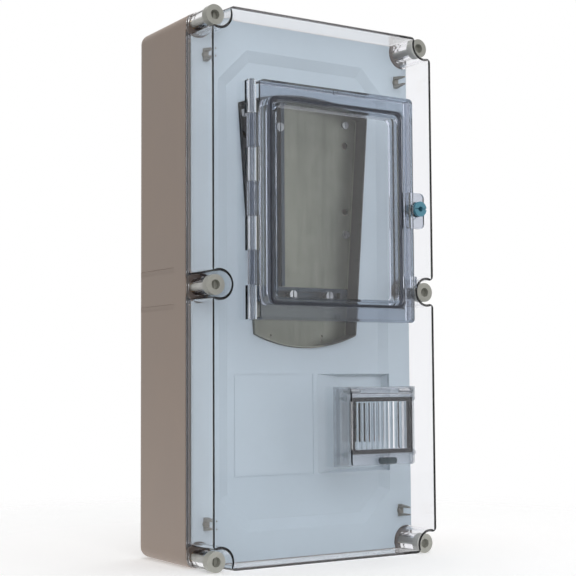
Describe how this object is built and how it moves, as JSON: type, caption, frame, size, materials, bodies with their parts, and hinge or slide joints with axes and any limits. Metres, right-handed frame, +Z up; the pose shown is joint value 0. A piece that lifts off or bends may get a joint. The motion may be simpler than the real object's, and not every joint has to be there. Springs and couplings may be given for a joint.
{
  "type": "electric meter box",
  "caption": "Wall-hung electric meter box: grey base, clear screwed lid, hinged meter window with barrel latch, ribbed breaker flap, white inner cover and metal meter pan.",
  "frame": {"origin": "centre of the flat back face that lies on the wall", "axes": "+X to the right as seen from the front, +Y into the wall, +Z up"},
  "size_m": [0.3, 0.1872, 0.6],
  "materials": {
    "grey_polycarbonate": "fine satin moulding",
    "clear_polycarbonate": "clear, polished",
    "white_cover": "satin moulding",
    "screw_plastic": "translucent moulding",
    "clip_plastic": "satin moulding",
    "black_rubber": "matte",
    "galvanised_steel": "galvanised",
    "zinc_plated_steel": "bright zinc plating",
    "brass": "turned",
    "blue_plastic": "gloss moulding",
    "dark_plastic": "satin moulding"
  },
  "bodies": {
    "enclosure": {"enclosure_base": "grey_polycarbonate", "thread_inserts": "brass", "lid_gasket": "black_rubber", "clear_lid": "clear_polycarbonate", "cover_screws": "screw_plastic", "faceplate": "white_cover", "faceplate_clips": "clip_plastic", "meter_pan": "galvanised_steel", "meter_pan_screws": "zinc_plated_steel", "hanger_rail": "zinc_plated_steel", "hanger_bolt": "zinc_plated_steel", "crossbar": "zinc_plated_steel", "crossbar_bolts": "zinc_plated_steel", "din_rail": "zinc_plated_steel", "din_rail_screws": "zinc_plated_steel", "meter_window_pin": "zinc_plated_steel", "breaker_frame": "clear_polycarbonate", "breaker_frame_screws": "zinc_plated_steel", "breaker_seal": "black_rubber", "breaker_flap_pins": "zinc_plated_steel"},
    "meter_window_body": {"meter_window": "clear_polycarbonate", "meter_window_seal": "black_rubber"},
    "meter_latch_body": {"meter_window_latch": "blue_plastic", "meter_window_latch_ring": "zinc_plated_steel"},
    "breaker_flap_body": {"breaker_flap": "clear_polycarbonate"},
    "flap_latch_body": {"breaker_flap_latch": "dark_plastic", "breaker_flap_latch_ring": "zinc_plated_steel"}
  },
  "joints": [
    {"name": "meter_window_hinge", "type": "hinge", "parent": "enclosure", "child": "meter_window_body", "pos_m": [-0.1055, -0.178, 0.091], "axis": [0, 0, -1], "range_deg": [0, 110]},
    {"name": "meter_latch_turn", "type": "hinge", "parent": "meter_window_body", "child": "meter_latch_body", "pos_m": [0.116, -0.183, 0.0935], "axis": [0, 1, 0], "range_deg": [0, 90]},
    {"name": "breaker_flap_hinge", "type": "hinge", "parent": "enclosure", "child": "breaker_flap_body", "pos_m": [0.061, -0.179, -0.1134], "axis": [-1, 0, 0], "range_deg": [0, 100]},
    {"name": "flap_latch_turn", "type": "hinge", "parent": "breaker_flap_body", "child": "flap_latch_body", "pos_m": [0.06595, -0.184, -0.1904], "axis": [0, 1, 0], "range_deg": [0, 90]}
  ]
}
